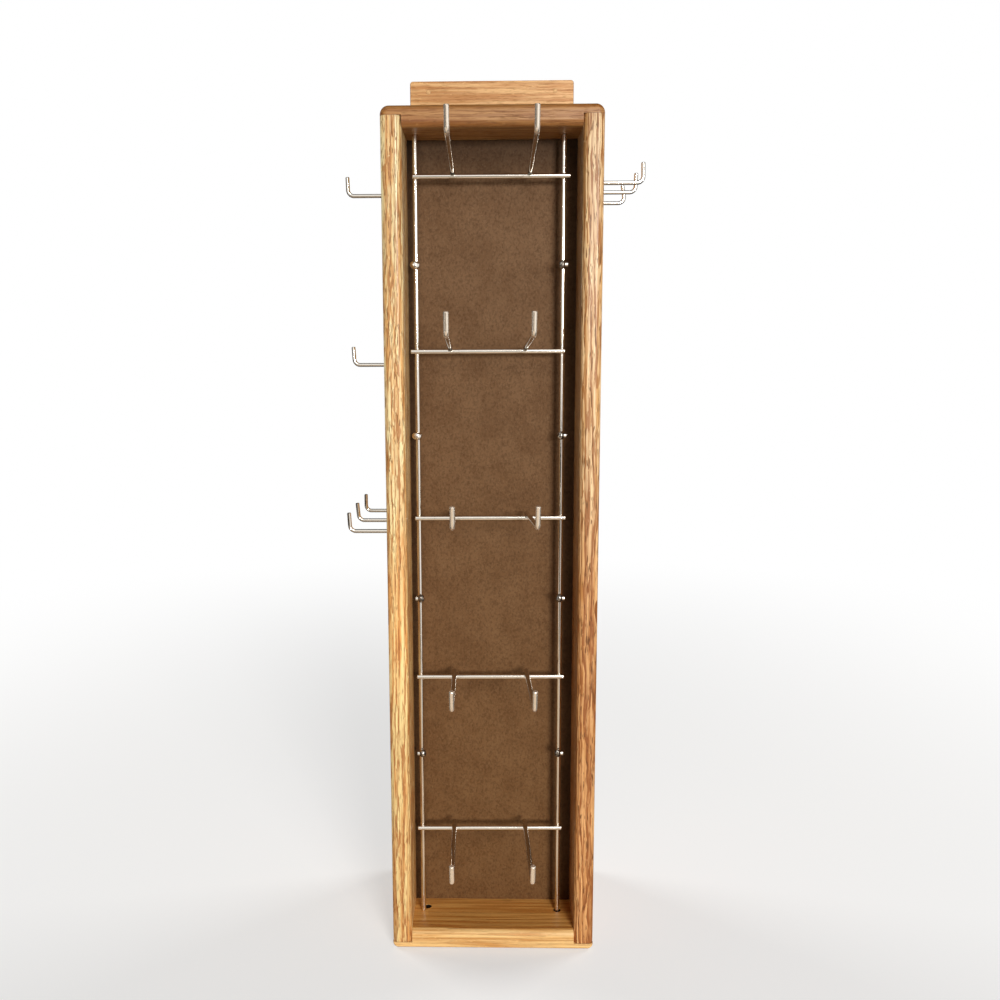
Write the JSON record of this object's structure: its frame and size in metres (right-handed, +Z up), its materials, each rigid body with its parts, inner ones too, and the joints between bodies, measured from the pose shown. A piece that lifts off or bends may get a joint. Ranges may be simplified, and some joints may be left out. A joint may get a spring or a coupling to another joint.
{
  "type": "hanging jewelry stand",
  "caption": "Tall narrow open-front oak box with a lift-out wire rack of forward hooks, wire pegs on its sides and a hanging rail, for necklaces and bracelets.",
  "frame": {"origin": "middle of the base's underside, on the table", "axes": "+X to the right seen from the open front, +Y to the back, +Z up"},
  "size_m": [0.2252, 0.2112, 0.6861],
  "materials": {
    "oak": "satin varnished oak",
    "hardboard": "smooth brown hardboard",
    "nickel_wire": "bright nickel plate",
    "fastener_steel": "plain steel"
  },
  "bodies": {
    "cabinet": {"left_side": "oak", "right_side": "oak", "top_board": "oak", "bottom_board": "oak", "hanging_rail": "oak", "inner_panel": "hardboard", "left_peg_upper": "nickel_wire", "left_peg_middle": "nickel_wire", "left_peg_lower_front": "nickel_wire", "left_peg_lower_mid": "nickel_wire", "left_peg_lower_back": "nickel_wire", "right_peg_front": "nickel_wire", "right_peg_mid": "nickel_wire", "right_peg_back": "nickel_wire", "corner_nails": "fastener_steel", "rail_screws": "fastener_steel"},
    "wire_rack": {"left_rod": "nickel_wire", "right_rod": "nickel_wire", "crossbar_1": "nickel_wire", "crossbar_2": "nickel_wire", "crossbar_3": "nickel_wire", "crossbar_4": "nickel_wire", "crossbar_5": "nickel_wire", "left_hook_1": "nickel_wire", "right_hook_1": "nickel_wire", "left_hook_2": "nickel_wire", "right_hook_2": "nickel_wire", "left_hook_3": "nickel_wire", "right_hook_3": "nickel_wire", "left_hook_4": "nickel_wire", "right_hook_4": "nickel_wire", "left_hook_5": "nickel_wire", "right_hook_5": "nickel_wire", "left_stub_1": "nickel_wire", "right_stub_1": "nickel_wire", "left_stub_2": "nickel_wire", "right_stub_2": "nickel_wire", "left_stub_3": "nickel_wire", "right_stub_3": "nickel_wire", "left_stub_4": "nickel_wire", "right_stub_4": "nickel_wire"}
  },
  "joints": [
    {"name": "rack_lift", "type": "slide", "parent": "cabinet", "child": "wire_rack", "axis": [0, 0, 1], "range_m": [0, 0.008]}
  ]
}
